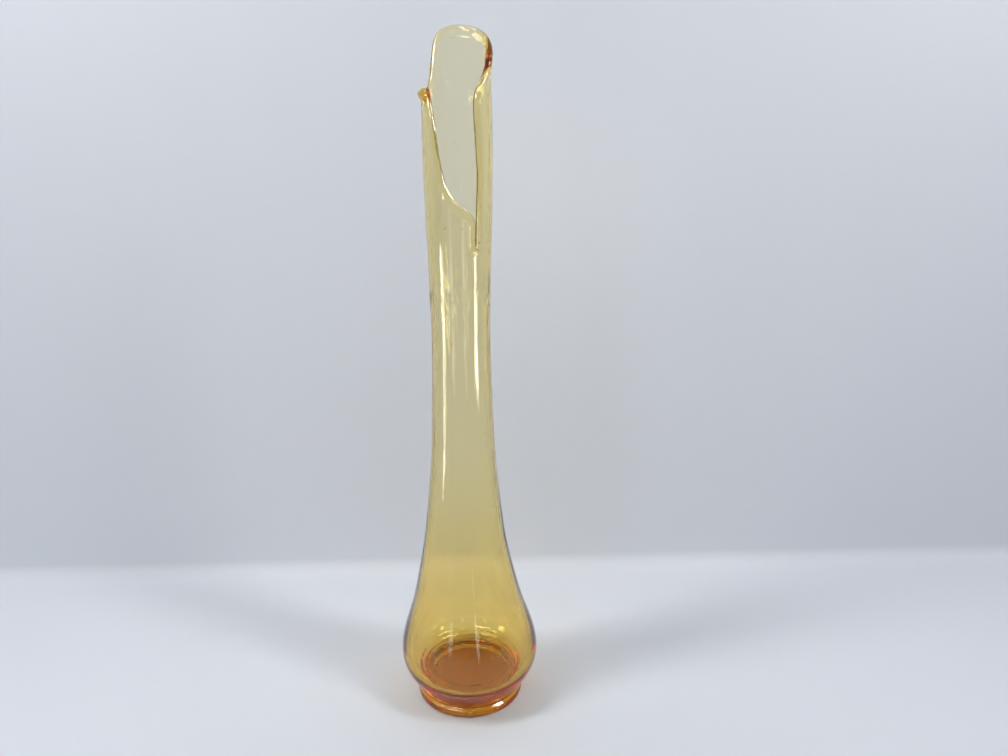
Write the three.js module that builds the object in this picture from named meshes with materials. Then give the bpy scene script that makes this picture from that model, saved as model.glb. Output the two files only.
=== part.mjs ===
// A tall swung glass vase, as a three.js group.
// A glassmaker presses a footed tumbler, reheats it and swings it, so the upper wall stretches
// into a long neck and the rim is left as a tall back lobe, a side finger and a deep front
// notch that ends in a narrow slit. All of it is one piece of amber glass.
// Millimetres, +Z up. The origin is the middle of the foot, on the table. The notch faces -Y.

import * as THREE from "three";

// Foot, pressed with the body
const footRadius = 49.6;
const footHeight = 7.4;
const footEdgeRound = 1.8;
const recessRadius = 45.5; // the dish under the foot, inside the ring it stands on
const recessDepth = 2.1;
const recessSlope = 8.5; // how wide the dish's sloping rim is
const grooveRadius = 46.6; // the pinch between the foot and the bulb
const grooveRise = 1.5; // from the foot's top to the bottom of the pinch

// Outside of the body: how wide it is, from the bulb to the top of the back lobe
const vaseHeight = 600;
const bulbHeight = 45;
const bulbRadius = 64.3;
const shoulderRadius = 48.9;
const taperRadius = 36;
const throatRadius = 27.8;
const neckRadius = 25.2;
const flareRadius = 28.3;
const mouthRadius = 26.8;

// Where those widths lie, as shares of the swung length above the bulb
const shoulderAt = 0.108;
const taperAt = 0.225;
const throatAt = 0.385;
const neckAt = 0.56;
const flareAt = 0.82;

// The neck stands a little to one side of the foot, because it cooled that way
const taperDrift = 3;
const mouthDrift = 4.6;

// Glass thickness
const floorHeight = 24; // table to the inside floor
const floorRadius = 48.2; // where the floor and the bowl would meet without the round corner
const floorRound = 16;
const bowlHeight = 34; // where the round corner has become the bowl's wall
const bowlWall = 8.1;
const bulbWall = 7.2;
const neckWall = 2.9;
const lipSwell = 0.4; // how far the fire-polished lip stands proud of the wall on each side
const lipRadius = neckWall / 2 + lipSwell;
const swellReach = 5; // how far below the lip the wall starts to swell

// Mouth: the rim's path round the neck, in degrees from the front towards +X, and in shares
// of the notch's depth below the top of the back lobe
const notchDepth = 171;
const solidBelowNotch = 25; // plain tube between the last whole ring and the notch
const slitAzimuth = 31.2;
const slitWidth = 0.7;
const slitHalfTurn = THREE.MathUtils.radToDeg(slitWidth / 2 / neckRadius);
const fingerTipAt = 0.29;
const rimPath = [
  [slitAzimuth, 1], // rounded bottom of the slit
  [slitAzimuth + slitHalfTurn, 0.965],
  [33, 0.8], // right edge, nearly upright
  [34.5, 0.69],
  [32.5, 0.56],
  [29, 0.37],
  [32.5, 0.305],
  [42, 0.268], // right crest
  [60, 0.21],
  [87, 0.12],
  [112, 0.055],
  [140, 0.018],
  [177, 0], // back lobe
  [207, 0.02],
  [222, 0.066],
  [230, 0.16],
  [237, 0.26],
  [249, 0.303], // hollow between the back lobe and the finger
  [275, fingerTipAt], // finger
  [301, 0.294],
  [308, 0.333],
  [319, 0.445], // front sweep
  [328, 0.594],
  [341, 0.728],
  [355, 0.787],
  [372, 0.82],
  [384, 0.853],
  [389.3, 0.88],
  [360 + slitAzimuth - slitHalfTurn, 0.92], // left edge of the slit
  [360 + slitAzimuth - slitHalfTurn, 0.965],
];

// The finger leans outwards
const fingerAzimuth = 277;
const fingerSpread = 45; // degrees to each side
const fingerLean = 2.4;
const fingerLeanLength = 75;

// Mesh fineness
const columns = 60;
const slitCrowding = 0.62; // 0 spaces the columns evenly round the rim, and 1 gathers them at the slit
const pathSamples = 1200;
const wallRows = 6; // between the last whole ring and the rim
const lipSteps = 6;
const cornerSteps = 4;

const glassColour = new THREE.Color(0.79, 0.52, 0.18);

// Curves

// A smooth curve through points sorted by x, which never bulges past them.
function smoothThrough(points) {
  const slopes = points.slice(1).map(([x, y], i) => (y - points[i][1]) / (x - points[i][0]));
  const tangent = (i) => {
    const before = slopes[i - 1];
    const after = slopes[i];
    if (before === undefined || after === undefined || before * after <= 0) return 0;
    return (2 * before * after) / (before + after);
  };
  return (x) => {
    const last = points.length - 1;
    if (x <= points[0][0]) return points[0][1];
    if (x >= points[last][0]) return points[last][1];
    const i = points.findIndex((point) => point[0] > x) - 1;
    const [x0, y0] = points[i];
    const [x1, y1] = points[i + 1];
    const width = x1 - x0;
    const t = (x - x0) / width;
    const startPull = t * (1 - t) ** 2 * width * tangent(i);
    const endPull = t * t * (t - 1) * width * tangent(i + 1);
    return y0 + (y1 - y0) * t * t * (3 - 2 * t) + startPull + endPull;
  };
}

const swungHeight = (share) => THREE.MathUtils.lerp(bulbHeight, vaseHeight, share);
const grooveHeight = footHeight + grooveRise;
const upperRadius = smoothThrough([
  [bulbHeight, bulbRadius],
  [swungHeight(shoulderAt), shoulderRadius],
  [swungHeight(taperAt), taperRadius],
  [swungHeight(throatAt), throatRadius],
  [swungHeight(neckAt), neckRadius],
  [swungHeight(flareAt), flareRadius],
  [vaseHeight, mouthRadius],
]);

// A quarter wave: it leaves its bottom sloping outwards and arrives upright at its top.
function quarterWave(height, bottomRadius, bottom, topRadius, top) {
  const share = THREE.MathUtils.clamp((height - bottom) / (top - bottom), 0, 1);
  return bottomRadius + (topRadius - bottomRadius) * Math.sin((Math.PI / 2) * share);
}

const outerRadius = (height) =>
  height < bulbHeight
    ? quarterWave(height, grooveRadius, grooveHeight, bulbRadius, bulbHeight)
    : upperRadius(height);

const wall = smoothThrough([
  [bowlHeight, bowlWall],
  [bulbHeight, bulbWall],
  [swungHeight(throatAt), neckWall],
]);

const innerRadius = (height) => outerRadius(height) - wall(height);

const drift = smoothThrough([
  [bulbHeight, 0],
  [swungHeight(taperAt), -taperDrift],
  [vaseHeight, -mouthDrift],
]);

// How far the finger stands out at a place on the wall.
function lean(azimuth, height) {
  const turn = Math.abs(THREE.MathUtils.euclideanModulo(azimuth - fingerAzimuth + 180, 360) - 180);
  const across = 1 - THREE.MathUtils.smoothstep(turn, 0, fingerSpread);
  const tip = vaseHeight - notchDepth * fingerTipAt;
  return fingerLean * across * THREE.MathUtils.smoothstep(height, tip - fingerLeanLength, tip);
}

// A point at an azimuth and a height, on the circle of the given radius there.
function place(azimuth, height, radius) {
  const turn = THREE.MathUtils.degToRad(azimuth);
  const reach = radius + lean(azimuth, height);
  return new THREE.Vector3(drift(height) + reach * Math.sin(turn), -reach * Math.cos(turn), height);
}

// The rim, laid out flat: x runs round the neck in millimetres and y is the height

const roundTheNeck = THREE.MathUtils.degToRad(1) * (flareRadius - neckWall / 2);
const neckGirth = 360 * roundTheNeck;

function flatRim() {
  const flat = rimPath.map(
    ([azimuth, share]) =>
      new THREE.Vector3(azimuth * roundTheNeck, vaseHeight - share * notchDepth, 0),
  );
  // The path repeats once round the neck, so the curve is drawn past both ends and cut back.
  const shifted = (turns) => flat.map((p) => new THREE.Vector3(p.x + turns * neckGirth, p.y, 0));
  const looped = [...shifted(-1).slice(-3), ...flat, ...shifted(1).slice(0, 4)];
  const curve = new THREE.CatmullRomCurve3(looped, false, "centripetal");
  const spans = looped.length - 1;
  const point = (share) => curve.getPoint((3 + share * flat.length) / spans);
  const samples = [];
  for (let i = 0; i <= pathSamples; i += 1) samples.push(point(i / pathSamples));
  return samples;
}

// One entry for each column: where its rim point lies and which way leads off the glass.
function rimColumns() {
  const samples = flatRim();
  const lengths = [0];
  for (let i = 1; i < samples.length; i += 1)
    lengths.push(lengths[i - 1] + samples[i].distanceTo(samples[i - 1]));
  const whole = lengths[lengths.length - 1];
  const rim = [];
  for (let column = 0; column < columns; column += 1) {
    const share = column / columns;
    const crowded = share - (slitCrowding * Math.sin(2 * Math.PI * share)) / (2 * Math.PI);
    const next = Math.max(1, lengths.findIndex((length) => length > crowded * whole));
    const part = (crowded * whole - lengths[next - 1]) / (lengths[next] - lengths[next - 1]);
    const point = samples[next - 1].clone().lerp(samples[next], part);
    const along = samples[next].clone().sub(samples[next - 1]).normalize();
    rim.push({
      azimuth: slitAzimuth + 360 * share,
      point,
      off: new THREE.Vector3(-along.y, along.x, 0),
    });
  }
  return rim;
}

// A closed ring of points at one height, with a point in each column.
const plainRing = (rim, radius, height) =>
  rim.map(({ azimuth }) => place(azimuth, height, radius));

// A ring that follows the rim, so far below the middle of its bead, and so far out from or
// in from the middle of the wall.
function rimRing(rim, below, out) {
  return rim.map(({ point, off }) => {
    const flat = point.clone().addScaledVector(off, -(lipRadius + below));
    const middle = outerRadius(flat.y) - wall(flat.y) / 2;
    return place(flat.x / roundTheNeck, flat.y, middle + out);
  });
}

// Rings that lead from the last whole ring up to the ring a bead's reach below the rim.
function leadingRings(rim, startHeight, side) {
  const rings = [];
  for (let row = 1; row <= wallRows; row += 1) {
    const share = row / wallRows;
    rings.push(
      rim.map(({ azimuth, point, off }) => {
        const end = point.clone().addScaledVector(off, -(lipRadius + swellReach));
        const start = new THREE.Vector3(azimuth * roundTheNeck, startHeight, 0);
        const flat = start.lerp(end, share);
        const radius = outerRadius(flat.y) - (wall(flat.y) * (1 - side)) / 2;
        return place(flat.x / roundTheNeck, flat.y, radius);
      }),
    );
  }
  return rings;
}

// The bead: the wall swells to the lip's radius, then turns over in a half circle.
function lipRings(rim) {
  const half = neckWall / 2 + lipSwell / 4;
  const rings = [rimRing(rim, swellReach / 2, half)];
  for (let step = 0; step <= lipSteps; step += 1) {
    const turn = Math.PI * (0.5 - step / lipSteps);
    rings.push(rimRing(rim, -lipRadius * Math.cos(turn), lipRadius * Math.sin(turn)));
  }
  rings.push(rimRing(rim, swellReach / 2, -half));
  return rings;
}

// Points on a circle, from one angle to the other, as [radius, height].
function corner(radius, height, round, fromTurn, toTurn) {
  const points = [];
  for (let step = 0; step <= cornerSteps; step += 1) {
    const turn = THREE.MathUtils.degToRad(fromTurn + ((toTurn - fromTurn) * step) / cornerSteps);
    points.push([radius + round * Math.cos(turn), height + round * Math.sin(turn)]);
  }
  return points;
}

// The section of the foot, from inside the recess round its edge to the pinch above it.
const footSection = [
  [recessRadius - recessSlope, recessDepth],
  [recessRadius, 0],
  ...corner(footRadius - footEdgeRound, footEdgeRound, footEdgeRound, -90, 0),
  ...corner(footRadius - footEdgeRound, footHeight - footEdgeRound, footEdgeRound, 0, 60),
  [grooveRadius, grooveHeight],
];

// The section of the inside floor: the round corner from the bowl's wall down to the flat floor.
const bowlTurn = THREE.MathUtils.radToDeg(
  Math.atan2(bowlHeight - floorHeight, innerRadius(bowlHeight) - floorRadius),
);
const floorFlat = floorRadius - floorRound * Math.tan(THREE.MathUtils.degToRad(bowlTurn / 2));
const floorSection = corner(floorFlat, floorHeight + floorRound, floorRound, bowlTurn - 90, -90);

// Heights of the whole rings, in shares of the stretch they cover.
const underBulbShares = [0.08, 0.2, 0.36, 0.54, 0.75, 1];
const bowlShares = [0, 0.5, 1];
const bulbShares = [0.04, 0.09, 0.15, 0.22, 0.3, 0.4, 0.52, 0.68, 0.84, 1];

const heightsBetween = (bottom, top, shares) =>
  shares.map((share) => THREE.MathUtils.lerp(bottom, top, share));

function vaseGeometry() {
  const rim = rimColumns();
  const lastWhole = vaseHeight - notchDepth - solidBelowNotch;
  const swungHeights = heightsBetween(bulbHeight, lastWhole, bulbShares);
  const underBulbHeights = heightsBetween(grooveHeight, bulbHeight, underBulbShares);
  const bowlHeights = heightsBetween(bowlHeight, bulbHeight, bowlShares);
  const outerHeights = [...underBulbHeights, ...swungHeights];
  const innerHeights = [...bowlHeights, ...swungHeights].reverse();
  const rings = [
    ...footSection.map(([radius, height]) => plainRing(rim, radius, height)),
    ...outerHeights.map((height) => plainRing(rim, outerRadius(height), height)),
    ...leadingRings(rim, lastWhole, 1),
    ...lipRings(rim),
    ...leadingRings(rim, lastWhole, -1).reverse(),
    ...innerHeights.map((height) => plainRing(rim, innerRadius(height), height)),
    ...floorSection.map(([radius, height]) => plainRing(rim, radius, height)),
  ];

  const vertices = rings.flat();
  const underside = vertices.push(new THREE.Vector3(0, 0, recessDepth)) - 1;
  const floor = vertices.push(new THREE.Vector3(0, 0, floorHeight)) - 1;
  const faces = [];
  const at = (ring, column) => ring * columns + (column % columns);
  for (let column = 0; column < columns; column += 1) {
    faces.push([underside, at(0, column + 1), at(0, column)]);
    faces.push([floor, at(rings.length - 1, column), at(rings.length - 1, column + 1)]);
    for (let ring = 0; ring < rings.length - 1; ring += 1) {
      const a = at(ring, column);
      const b = at(ring, column + 1);
      const c = at(ring + 1, column + 1);
      const d = at(ring + 1, column);
      const acrossA = vertices[a].distanceTo(vertices[c]);
      const acrossB = vertices[b].distanceTo(vertices[d]);
      // Each patch is split along its shorter diagonal.
      if (acrossA < acrossB) faces.push([a, b, c], [a, c, d]);
      else faces.push([a, b, d], [b, c, d]);
    }
  }

  const geometry = new THREE.BufferGeometry().setFromPoints(vertices);
  geometry.setIndex(faces.flat());
  geometry.computeVertexNormals();
  return geometry;
}

const amberGlass = new THREE.MeshStandardMaterial({
  color: glassColour,
  roughness: 0.03,
  metalness: 0,
  transparent: true,
  opacity: 0.4,
  side: THREE.DoubleSide,
});

const vaseGlass = new THREE.Mesh(vaseGeometry(), amberGlass);
vaseGlass.name = "vase_glass";

const swungVase = new THREE.Group();
swungVase.add(vaseGlass);

export default swungVase;
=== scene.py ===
# %% [markdown]
# A tall swung vase in amber glass
#
# A glassmaker presses a short footed tumbler in an iron mould, reheats it until the wall is soft,
# and swings it. The foot and the thick floor stay as they were pressed, while the wall above them
# stretches into a long neck and the rim is left as lobes and a deep notch. The whole vase is one
# piece of glass, so this lesson is about one surface: how it is laid out flat, how a rule swings it
# up into shape, and how clear glass gets its colour from its own thickness.
#
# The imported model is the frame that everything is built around. Its box is kept, because the
# finished vase has to fit in it.

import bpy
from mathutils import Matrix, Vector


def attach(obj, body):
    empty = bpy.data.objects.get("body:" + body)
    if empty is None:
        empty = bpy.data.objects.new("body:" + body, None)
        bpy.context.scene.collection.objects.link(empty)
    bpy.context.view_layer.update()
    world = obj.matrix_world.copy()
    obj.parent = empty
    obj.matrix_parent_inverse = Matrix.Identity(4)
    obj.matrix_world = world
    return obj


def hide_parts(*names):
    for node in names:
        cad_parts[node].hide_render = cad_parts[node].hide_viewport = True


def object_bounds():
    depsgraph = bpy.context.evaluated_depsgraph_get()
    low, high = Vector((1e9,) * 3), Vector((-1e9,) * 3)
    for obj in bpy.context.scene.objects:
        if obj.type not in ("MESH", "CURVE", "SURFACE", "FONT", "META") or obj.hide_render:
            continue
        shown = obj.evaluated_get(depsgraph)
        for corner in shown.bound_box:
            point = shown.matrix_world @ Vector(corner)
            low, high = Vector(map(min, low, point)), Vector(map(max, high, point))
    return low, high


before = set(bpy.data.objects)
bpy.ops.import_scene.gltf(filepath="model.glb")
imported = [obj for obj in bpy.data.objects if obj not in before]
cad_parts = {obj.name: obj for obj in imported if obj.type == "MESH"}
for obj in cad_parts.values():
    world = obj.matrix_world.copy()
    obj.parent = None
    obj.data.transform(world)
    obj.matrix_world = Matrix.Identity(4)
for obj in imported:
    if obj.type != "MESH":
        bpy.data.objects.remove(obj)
cad_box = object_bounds()
print("packed box, metres:", [tuple(round(side, 4) for side in corner) for corner in cad_box])

# %% Libraries and the unit of length
import math

import bmesh
import bpy
import numpy as np
from mathutils import Vector

mm = 0.001
glass_node = "vase_glass"

# %% [markdown]
# The camera
#
# It stands in front of the notch at about the height of the vase's mouth and looks down a little,
# so the foot and the inside floor show as ellipses while the top edge is seen almost level.

# %% Camera
camera_distance = 708 * mm
camera_height = 527 * mm
pitch_down = math.radians(16.9)
turn_right = math.radians(2.66)
photo_width = 1008
focal_pixels = 850

camera_data = bpy.data.cameras.new("photo_camera")
camera_data.sensor_width = 36
camera_data.lens = focal_pixels / photo_width * camera_data.sensor_width
camera = bpy.data.objects.new("photo_camera", camera_data)
camera.location = (0, -camera_distance, camera_height)
camera.rotation_euler = (math.pi / 2 - pitch_down, 0, -turn_right)
bpy.context.scene.collection.objects.link(camera)
bpy.context.scene.camera = camera
bpy.context.scene.view_settings.view_transform = "Standard"
print("lens, millimetres:", round(camera_data.lens, 2))

# %% [markdown]
# The outside of the body
#
# The pressed part is a foot, a pinch above it and a bulb. Above the bulb the glass was swung: it
# narrows fast, runs slender for most of the height and flares a little before the mouth. A few
# widths at shares of the swung length say all of that, and a curve that never bulges past its
# points joins them. Averaging the curve over a short reach takes out the small jumps in its
# bending, which polished glass would show as kinks in its reflections.

# %% Curve helpers
def smooth_through(points):
    """A curve through points sorted by x, which never bulges past them."""
    x, y = np.array(points, float).T
    slopes = np.diff(y) / np.diff(x)
    before, after = slopes[:-1], slopes[1:]
    steady = before * after > 0
    tangents = np.zeros(len(x))
    tangents[1:-1][steady] = 2 * (before * after)[steady] / (before + after)[steady]

    def curve(at):
        at = np.clip(at, x[0], x[-1])
        i = np.clip(np.searchsorted(x, at, side="right") - 1, 0, len(x) - 2)
        width = x[i + 1] - x[i]
        t = (at - x[i]) / width
        rise = (y[i + 1] - y[i]) * t * t * (3 - 2 * t)
        pull = t * (1 - t) ** 2 * tangents[i] + t * t * (t - 1) * tangents[i + 1]
        return y[i] + rise + pull * width

    return curve


def softened(curve, low, high, reach=9 * mm, taps=9):
    """The curve averaged over a short reach, which shrinks to nothing at both ends."""
    offsets = np.linspace(-1, 1, taps)
    weights = (1 - offsets**2) / np.sum(1 - offsets**2)

    def soft(at):
        at = np.asarray(at, float)
        room = np.clip(np.minimum(at - low, high - at), 0, reach)
        return sum(weight * curve(at + offset * room) for weight, offset in zip(weights, offsets))

    return soft


# %% Widths of the body
foot_radius = 49.6 * mm
foot_height = 7.4 * mm
groove_radius = 46.6 * mm
groove_rise = 1.5 * mm
groove_height = foot_height + groove_rise
box_margin = 0.03 * mm
vase_height = cad_box[1][2] - box_margin
bulb_height = 45 * mm
bulb_radius = 64.3 * mm
shoulder_radius = 48.9 * mm
taper_radius = 36 * mm
throat_radius = 27.8 * mm
neck_radius = 25.2 * mm
flare_radius = 28.3 * mm
mouth_radius = 26.8 * mm
shoulder_at, taper_at, throat_at, neck_at, flare_at = 0.108, 0.225, 0.385, 0.56, 0.82


def swung_height(share):
    return bulb_height + share * (vase_height - bulb_height)


def quarter_wave(height, low_radius, low, high_radius, high):
    """Leaves its bottom sloping outwards and arrives upright at its top."""
    share = np.clip((height - low) / (high - low), 0, 1)
    return low_radius + (high_radius - low_radius) * np.sin(math.pi / 2 * share)


swung_radius = smooth_through([
    (bulb_height, bulb_radius),
    (swung_height(shoulder_at), shoulder_radius),
    (swung_height(taper_at), taper_radius),
    (swung_height(throat_at), throat_radius),
    (swung_height(neck_at), neck_radius),
    (swung_height(flare_at), flare_radius),
    (vase_height, mouth_radius),
])


def body_radius(height):
    underside = quarter_wave(height, groove_radius, groove_height, bulb_radius, bulb_height)
    return np.where(height < bulb_height, underside, swung_radius(height))


outer_radius = softened(body_radius, groove_height, vase_height)
print("radius at the neck, mm:", round(float(outer_radius(swung_height(neck_at))) / mm, 2))

# %% [markdown]
# The inside
#
# The inside follows the outside as a heavy shell, which gets thinner where it was stretched. At the
# bottom it turns through a broad round corner into a flat floor well above the table, so under the
# floor there is a thick disc of solid glass.

# %% Wall and floor
floor_height = 24 * mm
floor_radius = 48.2 * mm
bowl_height = 34 * mm
bowl_wall = 8.1 * mm
bulb_wall = 7.2 * mm
neck_wall = 2.9 * mm

wall = smooth_through([
    (bowl_height, bowl_wall),
    (bulb_height, bulb_wall),
    (swung_height(throat_at), neck_wall),
])


def hollow_radius(height):
    return body_radius(height) - wall(height)


inner_radius = softened(hollow_radius, bowl_height, vase_height)


def half_wall(height):
    return (outer_radius(height) - inner_radius(height)) / 2


print("wall half way up, mm:", round(float(2 * half_wall(vase_height / 2)) / mm, 2))

# %% [markdown]
# The neck's lean
#
# A swung neck cools a little off the foot's axis. The lean is a sideways shift of the centre line
# with height, kept apart from the widths so that either can change alone.

# %% Centre line
taper_drift = 3 * mm
mouth_drift = 4.6 * mm

centre_line = smooth_through([
    (bulb_height, 0),
    (swung_height(taper_at), -taper_drift),
    (vase_height, -mouth_drift),
])
sway = softened(centre_line, 0, vase_height, reach=30 * mm)
print("centre line at the mouth, mm:", round(float(sway(vase_height)) / mm, 2))

# %% [markdown]
# The mouth's edge, laid out flat
#
# Cut the neck open along a line, press it flat, and the rim becomes one wandering line: down into
# the narrow slit, up the steep right edge to a crest, over the tall back lobe, down to the hollow
# beside the finger, across the finger and down the long front sweep to the slit again. The line is
# written as azimuths in degrees from the front towards +X, and as shares of the notch's depth below
# the top of the back lobe.

# %% Rim path
notch_depth = 171 * mm
slit_azimuth = 31.2
slit_width = 0.7 * mm
slit_half_turn = math.degrees(slit_width / 2 / neck_radius)
slit_left = 360 + slit_azimuth - slit_half_turn
finger_tip_at = 0.29
rim_path = [
    (slit_azimuth, 1),
    (slit_azimuth + slit_half_turn, 0.965),
    (33, 0.8),
    (34.5, 0.69),
    (32.5, 0.56),
    (29, 0.37),
    (32.5, 0.305),
    (42, 0.268),
    (60, 0.21),
    (87, 0.12),
    (112, 0.055),
    (140, 0.018),
    (177, 0),
    (207, 0.02),
    (222, 0.066),
    (230, 0.16),
    (237, 0.26),
    (249, 0.303),
    (275, finger_tip_at),
    (301, 0.294),
    (308, 0.333),
    (319, 0.445),
    (328, 0.594),
    (341, 0.728),
    (355, 0.787),
    (372, 0.82),
    (384, 0.853),
    (389.3, 0.88),
    (slit_left, 0.92),
    (slit_left, 0.965),
]
path_steps = 120
degree_length = math.radians(1) * (flare_radius - neck_wall / 2)
once_round = np.array([360 * degree_length, 0])


def rounded_loop(points):
    """A line once round the neck through flat points, which bends evenly at each of them."""
    spans = len(points)
    looped = np.concatenate([points[-2:] - once_round, points, points[:3] + once_round])
    steps = np.diff(looped, axis=0)
    gaps = np.linalg.norm(steps, axis=1)[:, None] ** 0.5
    speeds = steps / gaps
    across = (looped[2:] - looped[:-2]) / (gaps[:-1] + gaps[1:])
    tangents = speeds[:-1] - across + speeds[1:]
    t = np.linspace(0, 1, path_steps, endpoint=False)[None, :, None]
    start = looped[2 : 2 + spans, None]
    end = looped[3 : 3 + spans, None]
    gap = gaps[2 : 2 + spans, None]
    leave = tangents[1 : 1 + spans, None] * gap
    arrive = tangents[2 : 2 + spans, None] * gap
    line = start + (end - start) * t * t * (3 - 2 * t)
    line = line + leave * t * (1 - t) ** 2 + arrive * t * t * (t - 1)
    return np.concatenate([line.reshape(-1, 2), points[:1] + once_round])


rim_points = np.array([
    (azimuth * degree_length, vase_height - share * notch_depth) for azimuth, share in rim_path
])
rim_line = rounded_loop(rim_points)
rim_walk = np.concatenate([[0], np.cumsum(np.linalg.norm(np.diff(rim_line, axis=0), axis=1))])
print("length of the rim, mm:", round(rim_walk[-1] / mm, 1))

# %% [markdown]
# Columns of the flat sheet
#
# Every ring of the mesh has one point in each column. A column starts at an even azimuth on the
# plain part of the neck and ends at its own place on the rim. The places are even along the rim and
# along a second line inside the glass together. Round the bottom of the slit the rim turns on the
# spot while the inner line swings in a wide arc, so the columns fan out there.

# %% Columns
columns = 320
swell_reach = 6 * mm

rim_heading = np.gradient(rim_line, rim_walk, axis=0)
rim_heading /= np.linalg.norm(rim_heading, axis=1)[:, None]
off_the_glass = np.stack([-rim_heading[:, 1], rim_heading[:, 0]], axis=1)
inner_line = rim_line - off_the_glass * (neck_wall / 2 + swell_reach)
inner_steps = np.linalg.norm(np.diff(inner_line, axis=0), axis=1)
both_walks = rim_walk + np.concatenate([[0], np.cumsum(inner_steps)])

column_share = np.arange(columns) / columns
column_azimuth = slit_azimuth + 360 * column_share


def at_columns(values):
    return np.interp(column_share * both_walks[-1], both_walks, values)


rim_place = np.stack([at_columns(axis) for axis in rim_line.T], axis=1)
rim_off = np.stack([at_columns(axis) for axis in off_the_glass.T], axis=1)
rim_off /= np.linalg.norm(rim_off, axis=1)[:, None]
print("columns:", columns)

# %% [markdown]
# The lip's swelling
#
# Fire draws a thin edge up into a bead, so the lip stands a little proud of the wall on both sides.
# It is thicker at the crest, and thickest where the finger folded.

# %% Lip sizes
thin_swell = 0.9 * mm
crest_swell = 0.8 * mm
fold_swell = 2.3 * mm
crest_azimuth, crest_spread = 85, 60
fold_azimuth, fold_spread = 284, 30


def bump(azimuth, middle, spread):
    """1 at one azimuth, falling smoothly to 0 a spread away on both sides."""
    away = np.abs((azimuth - middle + 180) % 360 - 180)
    return np.cos(math.pi / 2 * np.minimum(away / spread, 1)) ** 2


def lip_swell(azimuth):
    """How far the lip stands proud of the wall on each side."""
    crest = crest_swell * bump(azimuth, crest_azimuth, crest_spread)
    return thin_swell + crest + fold_swell * bump(azimuth, fold_azimuth, fold_spread)


lip_radius = neck_wall / 2 + lip_swell(rim_place[:, 0] / degree_length)
lip_range = np.array([lip_radius.min(), lip_radius.max()])
print("thinnest and thickest lip, mm:", np.round(2 * lip_range / mm, 1))

# %% [markdown]
# The section of the foot
#
# A pressed foot has no sharp edge: the iron mould's corners are rounded and the fire softens them
# more. The section is a list of corners, from the middle of the hollow underside out to the ring it
# stands on, up its edge and in to the pinch under the bulb, and each corner becomes an arc.

# %% Rounded corners
corner_steps = 7


def rounded_corner(before, corner, after, round_off, steps=corner_steps):
    """Points on the arc that replaces a corner between two straight runs."""
    corner = np.array(corner, float)
    back = np.array(before) - corner
    ahead = np.array(after) - corner
    back /= np.linalg.norm(back)
    ahead /= np.linalg.norm(ahead)
    half = math.acos(back @ ahead) / 2
    middle = corner + (back + ahead) / np.linalg.norm(back + ahead) * round_off / math.sin(half)
    first = corner + back * round_off / math.tan(half) - middle
    last = corner + ahead * round_off / math.tan(half) - middle
    share = np.linspace(0, 1, steps)[:, None]
    sweep = math.pi - 2 * half
    arc = (first * np.sin((1 - share) * sweep) + last * np.sin(share * sweep)) / math.sin(sweep)
    return (middle + arc).tolist()


def rounded_section(corners, rounds):
    """The corners of a section, with an arc in place of each one between the two ends."""
    points = []
    for before, corner, after, round_off in zip(corners, corners[1:], corners[2:], rounds):
        points += rounded_corner(before, corner, after, round_off)
    return points


# %% Foot section
foot_edge_round = 1.8 * mm
foot_top_round = 2 * mm
foot_top_edge = 6.4 * mm
groove_round = 1.1 * mm
recess_radius = 45.5 * mm
recess_depth = 2.1 * mm
recess_slope = 8.5 * mm
recess_round = 0.8 * mm
standing_round = 2 * mm
floor_round = 16 * mm
above_the_groove = 4 * mm
floor_steps = 24

rise_start = groove_height + above_the_groove
foot_corners = [
    (0, recess_depth),
    (recess_radius - recess_slope, recess_depth),
    (recess_radius, 0),
    (foot_radius, 0),
    (foot_radius, foot_top_edge),
    (groove_radius, groove_height),
    (float(outer_radius(rise_start)), rise_start),
]
foot_rounds = [recess_round, standing_round, foot_edge_round, foot_top_round, groove_round]
bowl_edge = (float(inner_radius(bowl_height)), bowl_height)
floor_corner = (floor_radius, floor_height)
foot_section = rounded_section(foot_corners, foot_rounds)
floor_section = rounded_corner(bowl_edge, floor_corner, (0, floor_height), floor_round, floor_steps)
recess_flat = foot_section[0][0]
floor_flat = floor_section[-1][0]
flats = np.array([recess_flat, floor_flat])
print("flat part of the recess and of the floor, mm:", np.round(flats / mm, 1))

# %% [markdown]
# Rings of the flat blank
#
# The vase is first a flat sheet of points, each an azimuth, a height and a distance from the centre
# line. Flat, every part is easy to say: the foot is its section, the body is plain rings, and the
# mouth is rings that follow the rim. The fire-polished lip is a bead, which swells a little past
# the wall and turns over in a half circle.
#
# Three helpers ride along for the rule that swings the glass. "skin" is 1 outside, -1 inside and
# runs smoothly from one to the other over the lip. "ripple" marks the floor and the underside,
# which cooled a little uneven. "lip" marks the bead where the fire left it lumpy.

# %% Ring helpers
rings = []


def add_ring(azimuth, height, radius, skin, ripple=0, lip=0):
    flat = (np.radians(azimuth), height, radius, skin, ripple, lip)
    rings.append(np.stack(np.broadcast_arrays(*flat), axis=1))


def add_plain_ring(height, radius, skin, ripple=0):
    add_ring(column_azimuth, height, radius, skin, ripple)


def heights_between(low, high, row):
    return np.linspace(low, high, round((high - low) / row) + 1)[1:]


# %% Mouth rings and the lip's bead
below_the_slit = 25 * mm
last_whole = vase_height - notch_depth - below_the_slit
crest_lumps_spread = 45
tip_azimuth, tip_spread = 287, 32
tip_lumps = 0.85
mouth_end = 1 * mm
mouth_rows = 28
lip_steps = 14
rim_overlap = 900
rim_stride = 6
near_rim = np.concatenate([
    rim_line[-rim_overlap:] - once_round,
    rim_line,
    rim_line[:rim_overlap] + once_round,
])[::rim_stride]


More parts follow.
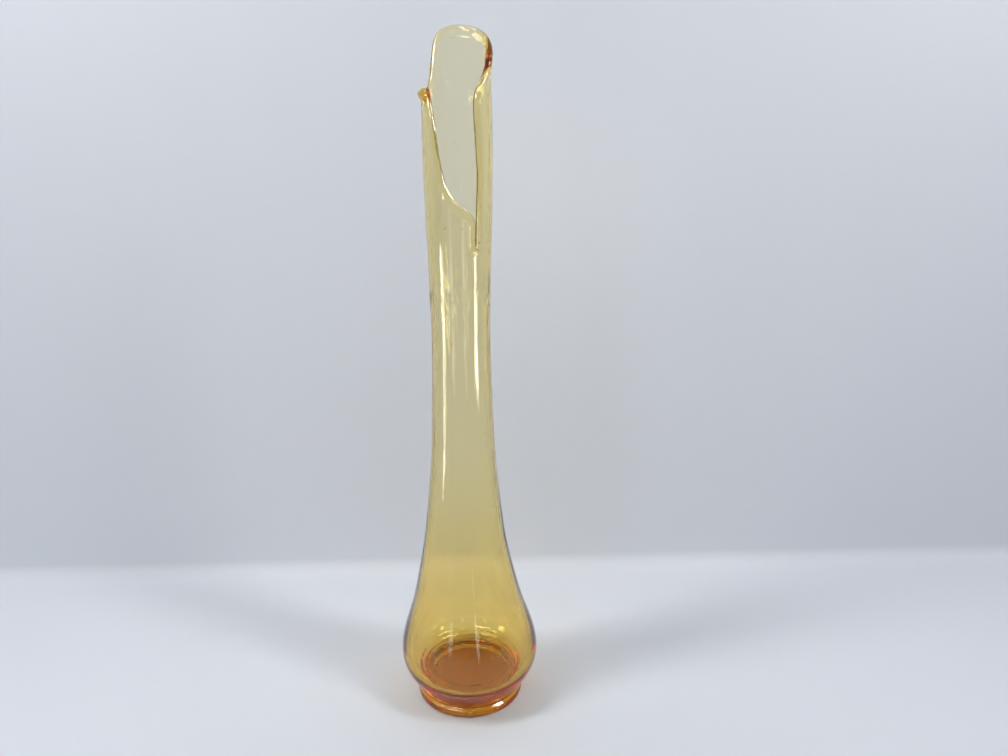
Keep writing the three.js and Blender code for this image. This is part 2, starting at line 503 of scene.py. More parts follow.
def lip_nearness(place):
    """1 at the bead, falling to 0 at the depth where the swelling starts."""
    gaps = np.linalg.norm(place[:, None] - near_rim[None], axis=2).min(axis=1)
    below = np.clip((gaps - lip_radius) / swell_reach, 0, 1)
    return (1 + np.cos(math.pi * below)) / 2


def lumpiness(azimuth):
    """How lumpy the fire left the lip: only at the crest and at the finger's tip."""
    crest = bump(azimuth, crest_azimuth, crest_lumps_spread)
    return np.maximum(crest, tip_lumps * bump(azimuth, tip_azimuth, tip_spread))


def add_mouth_ring(share, skin):
    """A ring part of the way from the last plain ring to the one just below the bead."""
    start = np.stack([column_azimuth * degree_length, np.full(columns, last_whole)], axis=1)
    end = rim_place - rim_off * (lip_radius + mouth_end)[:, None]
    place = start + (end - start) * share
    azimuth, height = place[:, 0] / degree_length, place[:, 1]
    nearness = lip_nearness(place)
    half = half_wall(height) + nearness * lip_swell(azimuth)
    radius = outer_radius(height) - half_wall(height) + skin * half
    add_ring(azimuth, height, radius, skin, lip=nearness * lumpiness(azimuth))


def add_bead_ring(turn):
    """A ring along the rim, a quarter turn outside to a quarter turn inside the bead's top."""
    place = rim_place - rim_off * (lip_radius * (1 - math.cos(turn)))[:, None]
    azimuth, height = place[:, 0] / degree_length, place[:, 1]
    radius = outer_radius(height) - half_wall(height) + lip_radius * math.sin(turn)
    add_ring(azimuth, height, radius, math.sin(turn), lip=lumpiness(azimuth))


# %% [markdown]
# Rows of rings, and the plunger's marks
#
# Rings lie close together where the surface turns or wrinkles, and further apart where it runs
# straight. The plunger that pressed the inside left three fine raised rings round the floor, so the
# rows are close together there as well.

# %% Rows and plunger marks
pressed_row = 2.4 * mm
swung_row = 6 * mm
chill_row = 1.6 * mm
chill_height = 385 * mm
chill_reach = 18 * mm
chill_bottom = chill_height - chill_reach
chill_top = chill_height + chill_reach
flat_shares = np.array([0.08, 0.22, 0.36, 0.5, 0.64, 0.78, 0.9])
closer_to_the_lip = 1.6
mouth_shares = 1 - (1 - np.arange(1, mouth_rows + 1) / mouth_rows) ** closer_to_the_lip

plunger_rise = 1.0 * mm
plunger_unevenness = 10
plunger_rings = [(47.5 * mm, 1.3 * mm), (42.6 * mm, 1.2 * mm), (37 * mm, 1.2 * mm)]
plunger_row = 0.5 * mm
plunger_end = 36 * mm
floor_radii = [
    *np.arange(floor_flat - plunger_row, plunger_end, -plunger_row),
    *flat_shares[-2::-1] * floor_flat,
]


def plunger_mark(radius):
    """1 on the fine rings that the plunger left in the floor, falling to 0 beside them."""
    return sum(math.exp(-(((radius - middle) / width) ** 2)) for middle, width in plunger_rings)


print("rings in the flat of the floor:", len(floor_radii))

# %% Lay the rings from the recess under the foot, over the lip, to the inside floor
for share in flat_shares:
    add_plain_ring(recess_depth, share * recess_flat, 1, ripple=1 - share)
for radius, height in foot_section:
    add_plain_ring(height, radius, 1)
for height in heights_between(rise_start - pressed_row / 2, bulb_height, pressed_row):
    add_plain_ring(height, outer_radius(height), 1)
swung_heights = [
    *heights_between(bulb_height, chill_bottom, swung_row),
    *heights_between(chill_bottom, chill_top, chill_row),
    *heights_between(chill_top, last_whole, swung_row),
]
for height in swung_heights:
    add_plain_ring(height, outer_radius(height), 1)
for share in mouth_shares:
    add_mouth_ring(share, 1)
for turn in np.linspace(math.pi / 2, -math.pi / 2, lip_steps + 1):
    add_bead_ring(turn)
for share in mouth_shares[::-1]:
    add_mouth_ring(share, -1)
for height in heights_between(bulb_height, last_whole, swung_row)[::-1]:
    add_plain_ring(height, inner_radius(height), -1)
for height in heights_between(bowl_height - pressed_row / 2, bulb_height, pressed_row)[::-1]:
    add_plain_ring(height, inner_radius(height), -1)
inside_bottom = floor_section + [(radius, floor_height) for radius in floor_radii]
for radius, height in inside_bottom:
    mark = plunger_mark(radius)
    ripple = 1 + plunger_unevenness * mark
    add_plain_ring(height + mark * plunger_rise, radius, -1, ripple=ripple)
print("rings:", len(rings))

# %% [markdown]
# Closing the sheet
#
# Quads join each ring to the next and each column to its neighbour, the last column to the first,
# so the sheet is closed round the neck. One point in the middle of the underside and one in the
# middle of the inside floor close it top and bottom.

# %% The blank's mesh
ring_values = np.concatenate(rings)
poles = np.array([[0, recess_depth, 0, 1, 1, 0], [0, floor_height, 0, -1, 1, 0]])
blank_values = np.concatenate([ring_values, poles])
underside_pole, floor_pole = len(ring_values), len(ring_values) + 1

here = np.arange(len(ring_values)).reshape(len(rings), columns)
beside = np.roll(here, -1, axis=1)
quads = np.stack([here[:-1], beside[:-1], beside[1:], here[1:]], axis=-1).reshape(-1, 4)
underside_fan = [(underside_pole, b, a) for a, b in zip(here[0], beside[0])]
floor_fan = [(floor_pole, a, b) for a, b in zip(here[-1], beside[-1])]

blank_mesh = bpy.data.meshes.new("blank")
blank_mesh.from_pydata(blank_values[:, :3], [], quads.tolist() + underside_fan + floor_fan)
print("blank: points", len(blank_mesh.vertices), "and faces", len(blank_mesh.polygons))

# %% [markdown]
# What each point carries
#
# The tree that swings the blank reads three helpers, and the centre line's sway at each height. The
# tree that scatters seed bubbles reads two more: how they crowd, in the floor and where the glass
# folded at the bottom of the slit, and how much glass there is behind the inside skin.

# %% Attributes of the blank
def add_attribute(mesh, name, values):
    attribute = mesh.attributes.new(name, "FLOAT", "POINT")
    attribute.data.foreach_set("value", np.asarray(values, np.float32))


slit_bottom = vase_height - notch_depth
cluster_drop = 3 * mm
cluster_reach = 3.5 * mm
cluster_crowding = 260
floor_crowding = 5
floor_glass = 9 * mm

azimuths, heights, _, skins, ripples, lips = blank_values.T
to_slit = np.hypot(
    (np.degrees(azimuths) - slit_azimuth) * degree_length,
    heights - slit_bottom + cluster_drop,
)
in_cluster = to_slit < cluster_reach
crowding = 1 + cluster_crowding * in_cluster + floor_crowding * (ripples > 0)
glass_behind = np.where(heights < bowl_height, floor_glass, wall(heights))
add_attribute(blank_mesh, "skin", skins)
add_attribute(blank_mesh, "ripple", ripples)
add_attribute(blank_mesh, "lip", lips)
add_attribute(blank_mesh, "sway", sway(heights))
add_attribute(blank_mesh, "crowding", crowding)
add_attribute(blank_mesh, "glass_behind", glass_behind)
print("points in the slit's cluster:", int(in_cluster.sum()))

# %% [markdown]
# Small helpers for node trees
#
# Trees are easier to read when a node is one line. add_node makes a node, changes its settings, and
# links or sets its inputs. calc does the same for one step of arithmetic, combine and split join
# three values into a vector and take them apart, and noise gives a value that changes with place.

# %% Node helpers
def add_node(tree, kind, inputs=(), **settings):
    node = tree.nodes.new(kind)
    for name, value in settings.items():
        setattr(node, name, value)
    for key, value in dict(inputs).items():
        if isinstance(value, bpy.types.NodeSocket):
            tree.links.new(value, node.inputs[key])
        else:
            node.inputs[key].default_value = value
    return node


def calc(tree, operation, *values):
    node = add_node(tree, "ShaderNodeMath", dict(enumerate(values)), operation=operation)
    return node.outputs[0]


def combine(tree, x, y, z):
    return add_node(tree, "ShaderNodeCombineXYZ", {"X": x, "Y": y, "Z": z}).outputs[0]


def split(tree, vector):
    return add_node(tree, "ShaderNodeSeparateXYZ", {0: vector}).outputs


def remap(tree, value, from_low, from_high, to_low, to_high, how="SMOOTHSTEP"):
    ends = {"From Min": from_low, "From Max": from_high, "To Min": to_low, "To Max": to_high}
    node = add_node(tree, "ShaderNodeMapRange", {"Value": value, **ends}, interpolation_type=how)
    return node.outputs[0]


def noise(tree, place, scale, detail=2.0):
    """Noise from about -0.5 to 0.5."""
    inputs = {"Vector": place, "Scale": scale, "Detail": detail}
    node = add_node(tree, "ShaderNodeTexNoise", inputs, noise_dimensions="3D")
    return calc(tree, "SUBTRACT", node.outputs[0], 0.5)


# %% [markdown]
# The glass
#
# Clear coloured glass is a smooth dielectric: it reflects a few per cent of the light and bends the
# rest. Its colour isn't on the surface. On its way through, light loses blue fast, green more slowly
# and red slowest of all, so the thin neck looks pale honey, while the solid floor and the lips, seen
# along their length, go to deep amber and orange. A Volume Absorption shader does just that: each
# metre of glass absorbs (1 - colour) times the density.
#
# The surface is fire-polished. It keeps a faint grain drawn out along the neck, a little uneven
# polish, and scuffs where the foot has stood on tables.

# %% Grain of the swung surface
glass_ior = 1.5
grain_detail = 3.0


def grain_group():
    """A shader group of fine lines drawn out along the neck, from an object's own coordinates."""
    tree = bpy.data.node_groups.new("swing grain", "ShaderNodeTree")
    for label, kind in (("Place", "Vector"), ("Lines", "Float"), ("Drawn Out", "Float")):
        tree.interface.new_socket(label, in_out="INPUT", socket_type="NodeSocket" + kind)
    tree.interface.new_socket("Height", in_out="OUTPUT", socket_type="NodeSocketFloat")
    group_in, group_out = tree.nodes.new("NodeGroupInput"), tree.nodes.new("NodeGroupOutput")
    x, y, z = split(tree, group_in.outputs["Place"])
    drawn = combine(tree, x, y, calc(tree, "DIVIDE", z, group_in.outputs["Drawn Out"]))
    lines = noise(tree, drawn, group_in.outputs["Lines"], detail=grain_detail)
    tree.links.new(lines, group_out.inputs["Height"])
    return tree


def clear_material(name, ior):
    """A smooth clear material, without colour of its own; returns it, its tree and its shader."""
    material = bpy.data.materials.new(name)
    material.use_nodes = True
    shader = material.node_tree.nodes["Principled BSDF"]
    shader.inputs["Base Color"].default_value = (1, 1, 1, 1)
    shader.inputs["IOR"].default_value = ior
    shader.inputs["Transmission Weight"].default_value = 1
    return material, material.node_tree, shader


print("index of the glass:", glass_ior)

# %% Amber glass material
absorbed_per_metre = {"red": 10.0, "green": 32.0, "blue": 135.0}
absorption_density = 150.0
grain_sizes = {"Lines": 420, "Drawn Out": 60}
grain_depth = 0.05 * mm
grain_strength = 0.12
scuff_low, scuff_high = 0.1 * mm, 0.5 * mm
scuff_roughness = 0.3
polish_scale = 35
polish_low, polish_high = -0.2, 0.3
polish_roughness = 0.012


def glass_material():
    material, tree, glass = clear_material("amber_glass", glass_ior)
    place = tree.nodes.new("ShaderNodeTexCoord").outputs["Object"]
    grain_at = {"Place": place, **grain_sizes}
    grain = add_node(tree, "ShaderNodeGroup", grain_at, node_tree=grain_group()).outputs["Height"]
    relief = {"Strength": grain_strength, "Distance": grain_depth, "Height": grain}
    surface = add_node(tree, "ShaderNodeBump", relief)
    tree.links.new(surface.outputs[0], glass.inputs["Normal"])

    height = split(tree, place)["Z"]
    scuffed = remap(tree, height, scuff_low, scuff_high, scuff_roughness, 0)
    waver = noise(tree, place, polish_scale)
    uneven = remap(tree, waver, polish_low, polish_high, 0, polish_roughness)
    tree.links.new(calc(tree, "MAXIMUM", scuffed, uneven), glass.inputs["Roughness"])

    kept = [1 - absorbed / absorption_density for absorbed in absorbed_per_metre.values()]
    colour = {"Color": (*kept, 1), "Density": absorption_density}
    amber = add_node(tree, "ShaderNodeVolumeAbsorption", colour)
    tree.links.new(amber.outputs[0], tree.nodes["Material Output"].inputs["Volume"])
    print("colour kept per", round(1 / absorption_density / mm, 1), "mm:", np.round(kept, 3))
    return material


amber_glass = glass_material()

# %% [markdown]
# From a tree to a plain mesh
#
# A shape tree has a named input for each of its sizes, and the modifier that holds it sets them by
# their sockets' identifiers. The tree ends by turning instances into real faces and giving them
# their material. The evaluated result is then copied into a plain mesh, which needs no modifier.

# %% Shape tree helpers
def new_shape_tree(name, sizes, seed_kind):
    """A Geometry Nodes tree with named inputs; returns it, its inputs and its output node."""
    tree = bpy.data.node_groups.new(name, "GeometryNodeTree")
    kinds = {"Geometry": "Geometry", **dict.fromkeys(sizes, "Float")}
    kinds.update({"Seed": seed_kind, "Material": "Material"})
    for label, kind in kinds.items():
        tree.interface.new_socket(label, in_out="INPUT", socket_type="NodeSocket" + kind)
    tree.interface.new_socket("Geometry", in_out="OUTPUT", socket_type="NodeSocketGeometry")
    group_in, group_out = tree.nodes.new("NodeGroupInput"), tree.nodes.new("NodeGroupOutput")
    return tree, group_in.outputs, group_out


def position(tree):
    return split(tree, tree.nodes.new("GeometryNodeInputPosition").outputs[0])


def attribute_value(tree, name):
    node = add_node(tree, "GeometryNodeInputNamedAttribute", {"Name": name}, data_type="FLOAT")
    return node.outputs["Attribute"]


def finish_tree(tree, geometry, material, group_out):
    """The end of a tree: smooth shading, real geometry in place of instances, and the material."""
    smooth = add_node(tree, "GeometryNodeSetShadeSmooth", {"Geometry": geometry})
    real = add_node(tree, "GeometryNodeRealizeInstances", {"Geometry": smooth.outputs[0]})
    dressed = {"Geometry": real.outputs[0], "Material": material}
    painted = add_node(tree, "GeometryNodeSetMaterial", dressed)
    tree.links.new(painted.outputs[0], group_out.inputs[0])


def shaped(name, mesh, tree, values):
    """A plain mesh object from a mesh and a tree with its inputs set."""
    source = bpy.data.objects.new(name + "_source", mesh)
    bpy.context.scene.collection.objects.link(source)
    modifier = source.modifiers.new(tree.name, "NODES")
    modifier.node_group = tree
    for socket in tree.interface.items_tree:
        if socket.in_out == "INPUT" and socket.name in values:
            modifier[socket.identifier] = values[socket.name]
    evaluated = source.evaluated_get(bpy.context.evaluated_depsgraph_get())
    result = bpy.data.meshes.new_from_object(evaluated)
    result.name = name
    bpy.data.objects.remove(source)
    piece = bpy.data.objects.new(name, result)
    bpy.context.scene.collection.objects.link(piece)
    return piece


# %% [markdown]
# Swinging the blank
#
# One tree wraps the flat sheet round the leaning centre line, as the rule of the whole shape: a
# point's azimuth and distance turn into X and Y, and its height stays Z. On the way it adds what a
# hand-swung vase has and a turned one hasn't. Each of these is a short function that works out how
# far a point moves, so they can be read, and changed, one at a time.
#
# The finger leans outwards. Lines run up the neck, each a shallow wave drawn out along the swing,
# and the two sides of the wall have lines of their own, so light wavers on its way through.

# %% Finger and swing lines
line_scale, line_detail = 3.2, 3.0
line_change_per_metre = 3.0
side_shift = 7.0


def finger_lean(tree, size, azimuth, height):
    """How far a point leans out, by how near it is to the finger's middle and tip."""
    away = calc(tree, "SUBTRACT", azimuth, size["Finger Azimuth"])
    away = calc(tree, "ARCCOSINE", calc(tree, "COSINE", away))
    across = remap(tree, away, 0, size["Finger Spread"], size["Finger Lean"], 0)
    up = remap(tree, height, size["Finger Foot"], size["Finger Tip"], 0, 1)
    return calc(tree, "MULTIPLY", across, up)


def swing_lines(tree, size, sine, cosine, height, skin):
    """Lines drawn out along the neck, with noise of their own for each side of the wall."""
    sides = []
    for side in (0, 1):
        shift = calc(tree, "ADD", size["Seed"], side_shift * side)
        rise = calc(tree, "MULTIPLY", height, line_change_per_metre)
        around = combine(tree, sine, cosine, calc(tree, "ADD", rise, shift))
        sides.append(noise(tree, around, line_scale, detail=line_detail))
    outside = remap(tree, skin, -1, 1, 0, 1, how="LINEAR")
    mixed = add_node(tree, "ShaderNodeMix", {"Factor": outside, "A": sides[0], "B": sides[1]})
    depth = remap(tree, height, size["Lines Begin"], size["Lines Full"], 0, size["Line Depth"])
    return calc(tree, "MULTIPLY", mixed.outputs[0], depth)


# %% [markdown]
# The chilled ring and the mould's mark
#
# Some way below the notch the neck was chilled, and a ring of short shallow wrinkles is left in its
# outside, a little higher on one side than on the other. The foot was never stretched, so it keeps
# the small raised mark of the mould's joint at the front of its edge.

# %% Chilled ring and mould's mark
ring_tilt = 3 * mm
wrinkles_round = 3.5
foot_edge_from = foot_radius - 0.1 * mm


def chilled_ring(tree, size, sine, cosine, height, skin):
    """Short wrinkles in the outside, deepest at one height."""
    level = calc(tree, "MULTIPLY_ADD", sine, ring_tilt, size["Ring Height"])
    from_ring = calc(tree, "ABSOLUTE", calc(tree, "SUBTRACT", height, level))
    depth = remap(tree, from_ring, 0, size["Ring Reach"], size["Ring Depth"], 0)
    depth = calc(tree, "MULTIPLY", depth, remap(tree, skin, 0, 1, 0, 1))
    wrinkle_at = combine(
        tree,
        calc(tree, "MULTIPLY", sine, wrinkles_round),
        calc(tree, "MULTIPLY", cosine, wrinkles_round),
        calc(tree, "DIVIDE", height, size["Wrinkle Length"]),
    )
    return calc(tree, "MULTIPLY", depth, noise(tree, wrinkle_at, 1.0, detail=1.0))


def mould_mark(tree, size, cosine, height, radius):
    """A small rise at the front of the foot's edge."""
    across = calc(tree, "ARCCOSINE", cosine)
    rise = remap(tree, across, 0, size["Mark Half Turn"], size["Mark Rise"], 0)
    low = calc(tree, "LESS_THAN", height, size["Mark Top"])
    on_edge = calc(tree, "GREATER_THAN", radius, foot_edge_from)
    return calc(tree, "MULTIPLY", rise, calc(tree, "MULTIPLY", low, on_edge))


# %% [markdown]
# Lumps in the lip and waves in the floor
#
# The fire rounded the lip and left it lumpy at the crest and at the finger's tip, where it is
# thickest, so the light through it breaks up into dark red and gold. The inside floor and the
# underside cooled a little wavy, most of all along the rings that the plunger left.

# %% Lip lumps and floor waves
lump_scale, lump_detail = 10.0, 1.5
lump_change_per_metre = 36.0
lump_change_over_lip = 0.6
wave_scale, wave_detail = 130, 3.0


def lip_lumps(tree, size, azimuth, height, skin):
    """How far the fire left the lip's skin out or in."""
    lumps_at = combine(
        tree,
        azimuth,
        calc(tree, "MULTIPLY", height, lump_change_per_metre),
        calc(tree, "MULTIPLY", skin, lump_change_over_lip),
    )
    lumps = noise(tree, lumps_at, lump_scale, detail=lump_detail)
    lumps = calc(tree, "MULTIPLY", lumps, attribute_value(tree, "lip"))
    return calc(tree, "MULTIPLY", lumps, size["Lip Unevenness"])


def floor_waves(tree, size, sine, cosine, radius, skin):
    """How far the floor and the underside rise or sink."""
    x, y = calc(tree, "MULTIPLY", radius, sine), calc(tree, "MULTIPLY", radius, cosine)
    waves = noise(tree, combine(tree, x, y, skin), wave_scale, detail=wave_detail)
    waves = calc(tree, "MULTIPLY", waves, attribute_value(tree, "ripple"))
    return calc(tree, "MULTIPLY", waves, size["Ripple Depth"])


# %% Swing tree
swing_sizes = [
    "Finger Azimuth",
    "Finger Spread",
    "Finger Foot",
    "Finger Tip",
    "Finger Lean",
    "Line Depth",
    "Lines Begin",
    "Lines Full",
    "Ring Height",
    "Ring Reach",
    "Ring Depth",
    "Wrinkle Length",
    "Ripple Depth",
    "Mark Rise",
    "Mark Half Turn",
    "Mark Top",
    "Lip Unevenness",
]


def swing_tree():
    tree, size, group_out = new_shape_tree("swing the glass", swing_sizes, "Float")
    azimuth, height, radius = position(tree)
    skin = attribute_value(tree, "skin")
    sine, cosine = calc(tree, "SINE", azimuth), calc(tree, "COSINE", azimuth)
    outward = [
        finger_lean(tree, size, azimuth, height),
        swing_lines(tree, size, sine, cosine, height, skin),
        chilled_ring(tree, size, sine, cosine, height, skin),
        mould_mark(tree, size, cosine, height, radius),
        lip_lumps(tree, size, azimuth, height, skin),
    ]
    reach = radius
    for part in outward:
        reach = calc(tree, "ADD", reach, part)
    swung = combine(
        tree,
        calc(tree, "MULTIPLY_ADD", reach, sine, attribute_value(tree, "sway")),
        calc(tree, "MULTIPLY", calc(tree, "MULTIPLY", reach, cosine), -1),
        calc(tree, "ADD", height, floor_waves(tree, size, sine, cosine, radius, skin)),
    )
    move = {"Geometry": size["Geometry"], "Position": swung}
    moved = add_node(tree, "GeometryNodeSetPosition", move)
    finish_tree(tree, moved.outputs[0], size["Material"], group_out)
    return tree


print("inputs of the swing tree:", len(swing_sizes))

# %% Swing the vase
finger_tip = vase_height - notch_depth * finger_tip_at
finger_length = 75 * mm
finger_azimuth, finger_spread = 277, 45
vase = shaped(
    "swung_vase",
    blank_mesh,
    swing_tree(),
    {
        "Finger Azimuth": math.radians(finger_azimuth),
        "Finger Spread": math.radians(finger_spread),
        "Finger Foot": finger_tip - finger_length,
        "Finger Tip": finger_tip,
        "Finger Lean": 0.4 * mm,
        "Line Depth": 0.5 * mm,
        "Lines Begin": 25 * mm,
        "Lines Full": 260 * mm,
        "Ring Height": chill_height,
        "Ring Reach": chill_reach,
        "Ring Depth": 1.3 * mm,
        "Wrinkle Length": 12 * mm,
        "Ripple Depth": 0.26 * mm,
        "Mark Rise": 1.3 * mm,
        "Mark Half Turn": math.radians(3.6),
        "Mark Top": 6 * mm,
        "Lip Unevenness": 2.6 * mm,
        "Seed": 4.0,
        "Material": amber_glass,
    },
)
corners = np.array([v.co for v in vase.data.vertices])
print("vase box, mm:", np.round(corners.min(0) / mm, 2), np.round(corners.max(0) / mm, 2))
print("triangles:", sum(len(face.vertices) - 2 for face in vase.data.polygons))

# %% [markdown]
# Seed bubbles
#
# Pressed glass always holds a few seeds, tiny bubbles of air. The swing draws out the ones in the
# neck, and a cluster sits at the bottom of the slit, where the glass folded on itself. They are
# scattered by a tree over the inside skin and pushed back into the glass behind it. A bubble is air
# in glass, so light meets it the other way round: its relative index is 1 over the glass's.

# %% Bubble tree
inside_skin = -0.99
least_buried, most_buried = 0.3, 0.7
ball_fineness = 2
faces_per_ball = 20 * 4 ** (ball_fineness - 1)


def random_between(tree, size, low, high, salt):
    """A random value for each bubble, from the tree's seed and a number of its own."""
    node = add_node(
        tree,
        "FunctionNodeRandomValue",
        {"Seed": calc(tree, "ADD", size["Seed"], salt)},
        data_type="FLOAT",
    )
    for name, value in (("Min", low), ("Max", high)):
        socket = next(s for s in node.inputs if s.name == name and s.type == "VALUE")
        if isinstance(value, bpy.types.NodeSocket):
            tree.links.new(value, socket)
        else:
            socket.default_value = value
    return next(s for s in node.outputs if s.type == "VALUE")


def bubble_tree():
    sizes = ["Per Square Metre", "Smallest", "Largest", "Drawn Out"]
    tree, size, group_out = new_shape_tree("seed bubbles", sizes, "Int")
    inside = calc(tree, "LESS_THAN", attribute_value(tree, "skin"), inside_skin)
    crowding = attribute_value(tree, "crowding")
    density = calc(tree, "MULTIPLY", size["Per Square Metre"], crowding)
    scatter = add_node(
        tree,
        "GeometryNodeDistributePointsOnFaces",
        {"Mesh": size["Geometry"], "Selection": inside, "Density": density, "Seed": size["Seed"]},
    )
    share = random_between(tree, size, -most_buried, -least_buried, 1)
    depth = calc(tree, "MULTIPLY", share, attribute_value(tree, "glass_behind"))
    along = {0: scatter.outputs["Normal"], "Scale": depth}
    back = add_node(tree, "ShaderNodeVectorMath", along, operation="SCALE")
    bury = {"Geometry": scatter.outputs["Points"], "Offset": back.outputs[0]}
    buried = add_node(tree, "GeometryNodeSetPosition", bury)
    ball_sizes = {"Radius": 1.0, "Subdivisions": ball_fineness}
    seed_ball = add_node(tree, "GeometryNodeMeshIcoSphere", ball_sizes)
    width = random_between(tree, size, size["Smallest"], size["Largest"], 2)
    height = position(tree)["Z"]
    drawn = remap(tree, height, bulb_height, vase_height / 2, 1, size["Drawn Out"])
    stretched = combine(tree, width, width, calc(tree, "MULTIPLY", width, drawn))
    balls = add_node(
        tree,
        "GeometryNodeInstanceOnPoints",
        {"Points": buried.outputs[0], "Instance": seed_ball.outputs[0], "Scale": stretched},
    )
    finish_tree(tree, balls.outputs[0], size["Material"], group_out)
    return tree


print("faces of a bubble:", faces_per_ball)

# %% Scatter the bubbles
seed_stretch = 1.8
seed_air, _, air = clear_material("seed_air", 1 / glass_ior)
air.inputs["Roughness"].default_value = 0
bubbles = shaped(
    "seed_bubbles",
    vase.data,
    bubble_tree(),
    {
        "Per Square Metre": 700.0,
        "Smallest": 0.15 * mm,
        "Largest": 0.42 * mm,
        "Drawn Out": seed_stretch,
        "Seed": 3,
        "Material": seed_air,
    },
)
print("seed bubbles:", len(bubbles.data.polygons) // faces_per_ball)

# %% [markdown]
# Large seeds
#
# A few seeds are big enough to be seen one by one: the cluster at the slit's bottom, some in the
# back lobe, and some beside the notch. Each is written as an azimuth in degrees, a height and a
# width in millimetres, and lies half way through the wall.

# %% Large seeds
large_stretch = 1.25
cluster_seeds = [
    (31.5, 427, 2.1),
    (26.5, 428, 1.3),
    (36, 426, 1.2),
    (24, 433, 0.8),
    (38.5, 432, 0.9),
    (30, 420, 0.8),
]
back_lobe_seeds = [(190, 590, 1.0), (183, 590, 0.9), (200, 560, 0.9), (150, 547, 1.1)]
front_seeds = [(300, 487, 1.1), (335, 444, 1.0), (5, 444, 1.0), (43, 438, 0.9)]
large_seeds = cluster_seeds + back_lobe_seeds + front_seeds
print("large seeds:", len(large_seeds))

# %% The mesh of the large seeds
ball = bpy.data.meshes.new("ball")
shape = bmesh.new()
bmesh.ops.create_icosphere(shape, subdivisions=ball_fineness, radius=0.5)
shape.to_mesh(ball)
shape.free()
ball_points = np.array([corner.co for corner in ball.vertices])
ball_faces = np.array([face.vertices for face in ball.polygons])
stretch = np.array([1, 1, large_stretch])
seed_points, seed_faces = [], []
for azimuth, height_mm, width_mm in large_seeds:
    turn, height = math.radians(azimuth), height_mm * mm
    middle = float(outer_radius(height) - half_wall(height))
    centre = np.array([sway(height) + middle * math.sin(turn), -middle * math.cos(turn), height])
    seed_faces.append(ball_faces + len(ball_points) * len(seed_points))
    seed_points.append(centre + ball_points * width_mm * mm * stretch)
seeds_mesh = bpy.data.meshes.new("large_seeds")
seeds_mesh.from_pydata(np.concatenate(seed_points), [], np.concatenate(seed_faces).tolist())
for face in seeds_mesh.polygons:
    face.use_smooth = True
seeds_mesh.materials.append(seed_air)
large = bpy.data.objects.new("large_seeds", seeds_mesh)
bpy.context.scene.collection.objects.link(large)
print("faces of the large seeds:", len(seeds_mesh.polygons))

# %% [markdown]
# The floor and backdrop
#
# Clear glass shows what is behind it, so the room is part of the finish. A pale floor runs under
# the vase and bends up into a pale wall close behind it. The wall has no back: from behind it
# lets the view through, so the vase can be seen from every side.

# %% Backdrop
wall_distance = 228 * mm
bend_radius = 16 * mm
floor_gap = 0.05 * mm
stage_half = 2600 * mm
wall_top = 2600 * mm
bend_steps = 12
pale = (0.74, 0.77, 0.82, 1)
pale_roughness = 0.8


def pale_material(name, one_sided):
    material = bpy.data.materials.new(name)
    material.use_nodes = True
    tree = material.node_tree
    paint = tree.nodes["Principled BSDF"]
    paint.inputs["Base Color"].default_value = pale
    paint.inputs["Roughness"].default_value = pale_roughness
    if one_sided:
        clear = tree.nodes.new("ShaderNodeBsdfTransparent")
        behind = tree.nodes.new("ShaderNodeNewGeometry").outputs["Backfacing"]
        sides = {0: behind, 1: paint.outputs[0], 2: clear.outputs[0]}
        either = add_node(tree, "ShaderNodeMixShader", sides)
        tree.links.new(either.outputs[0], tree.nodes["Material Output"].inputs["Surface"])
    return material


def add_sheet(name, profile, material):
    """A sheet that follows a profile of (y, z) points and is wide along X."""
    points = [(x, y, z) for y, z in profile for x in (-stage_half, stage_half)]
    faces = [(i, i + 1, i + 3, i + 2) for i in range(0, len(points) - 2, 2)]
    mesh = bpy.data.meshes.new(name)
    mesh.from_pydata(points, [], faces)
    for face in mesh.polygons:
        face.use_smooth = True
    mesh.materials.append(material)
    sheet = bpy.data.objects.new(name, mesh)
    bpy.context.scene.collection.objects.link(sheet)


bend = [
    (wall_distance - bend_radius * (1 - math.sin(turn)), bend_radius * (1 - math.cos(turn)))
    for turn in np.linspace(0, math.pi / 2, bend_steps + 1)
]
add_sheet("backdrop", [*bend, (wall_distance, wall_top)], pale_material("pale_wall", True))
floor_profile = [(y, -floor_gap) for y in (-stage_half, wall_distance - bend_radius, stage_half)]
add_sheet("pale_floor", floor_profile, pale_material("pale_floor", False))
print("wall behind the vase, mm:", wall_distance / mm)

# %% [markdown]
# The light
#
# Four lamps light the room. Two long ones above give the floor its shadow, and two small ones low
# in front put soft streaks on the bulb. The even grey of the room fills the rest, and together they
# light a pale surface to about its own colour.
#
# Polished glass is seen by what it reflects, so four more lamps show only in reflections and light
# nothing matt. Two upright ones at the sides put the long white lines on the neck, and two high
# ones put the fine white lines on the lips.

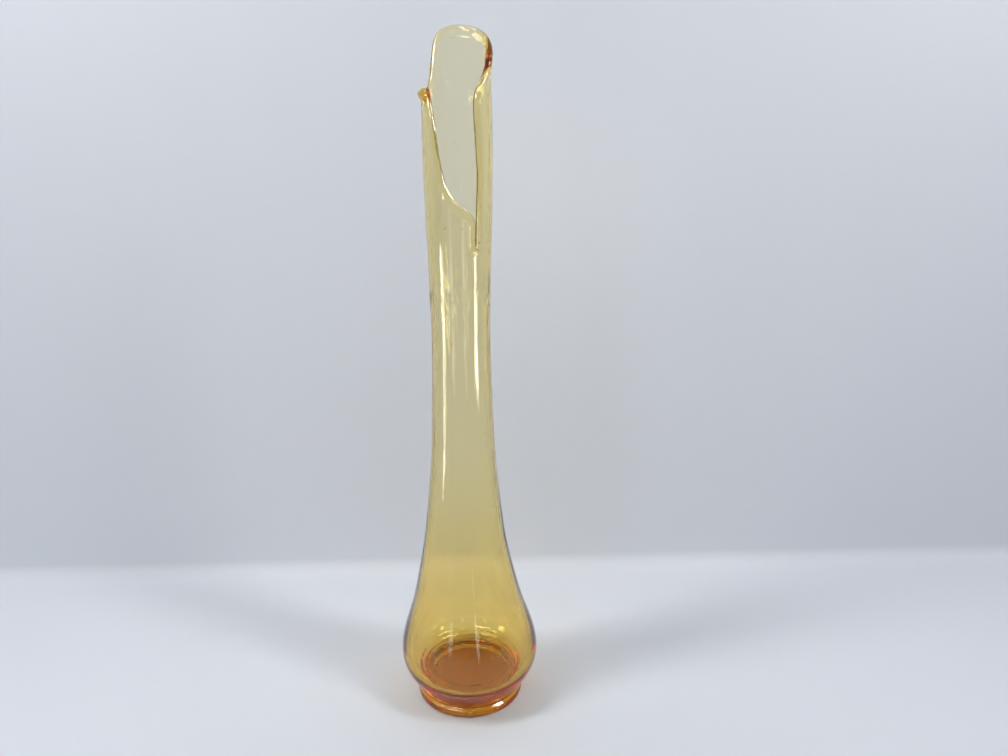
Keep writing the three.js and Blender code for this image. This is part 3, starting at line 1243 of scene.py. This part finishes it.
# %% Lamps and the room
def add_lamp(name, place, target, width, height, brightness, lights_room=True):
    """An oval lamp turned towards a point, which may be kept from lighting matt surfaces."""
    data = bpy.data.lights.new(name, "AREA")
    data.shape = "ELLIPSE"
    data.size, data.size_y = width, height
    oval_area = math.pi / 4 * width * height
    data.energy = brightness * math.pi * oval_area
    lamp = bpy.data.objects.new(name, data)
    lamp.location = place
    aim = np.array(target, float) - np.array(place, float)
    lamp.rotation_euler = Vector(aim).to_track_quat("-Z", "Y").to_euler()
    lamp.visible_camera = False
    lamp.visible_diffuse = lights_room
    bpy.context.scene.collection.objects.link(lamp)


add_lamp("top_left", (-0.75, -0.25, 1.35), (0, 0, 0.2), 0.26, 1.0, 13)
add_lamp("top_right", (0.8, -0.45, 1.3), (0, 0, 0.2), 0.22, 1.0, 12)
add_lamp("front_left", (-0.62, -1.0, 0.15), (0, 0, 0.3), 0.16, 0.3, 2.6)
add_lamp("front_right", (0.28, -1.1, 0.15), (0, 0, 0.3), 0.10, 0.3, 2.6)
add_lamp("left_line", (-0.58, -0.2, 0.18), (0, 0, 0.2), 0.12, 0.28, 12, lights_room=False)
add_lamp("right_line", (0.62, -0.36, 0.23), (0, 0, 0.3), 0.11, 0.26, 10, lights_room=False)
add_lamp("lip_left", (-0.62, -0.98, 1.02), (0, 0, 0.5), 0.9, 0.3, 40, lights_room=False)
add_lamp("lip_right", (0.85, -0.25, 0.9), (0, 0, 0.5), 0.4, 0.3, 40, lights_room=False)

# Light crosses many surfaces of clear glass, so its path may be long
light_paths = bpy.context.scene.cycles
light_paths.max_bounces = 40
light_paths.transmission_bounces = 40
light_paths.glossy_bounces = 24

room_grey = (0.22, 0.23, 0.25, 1)
room = bpy.data.worlds.new("room")
room.use_nodes = True
room.node_tree.nodes["Background"].inputs["Color"].default_value = room_grey
bpy.context.scene.world = room
lamps = [thing.name for thing in bpy.data.objects if thing.type == "LIGHT"]
print("lamps:", len(lamps))

# %% [markdown]
# Handing over
#
# All three meshes ride on the one body of the vase. The fine glass stands in for the imported solid,
# which is hidden.

# %% Ride on the frame
for piece in (vase, bubbles, large):
    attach(piece, "root")
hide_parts(glass_node)
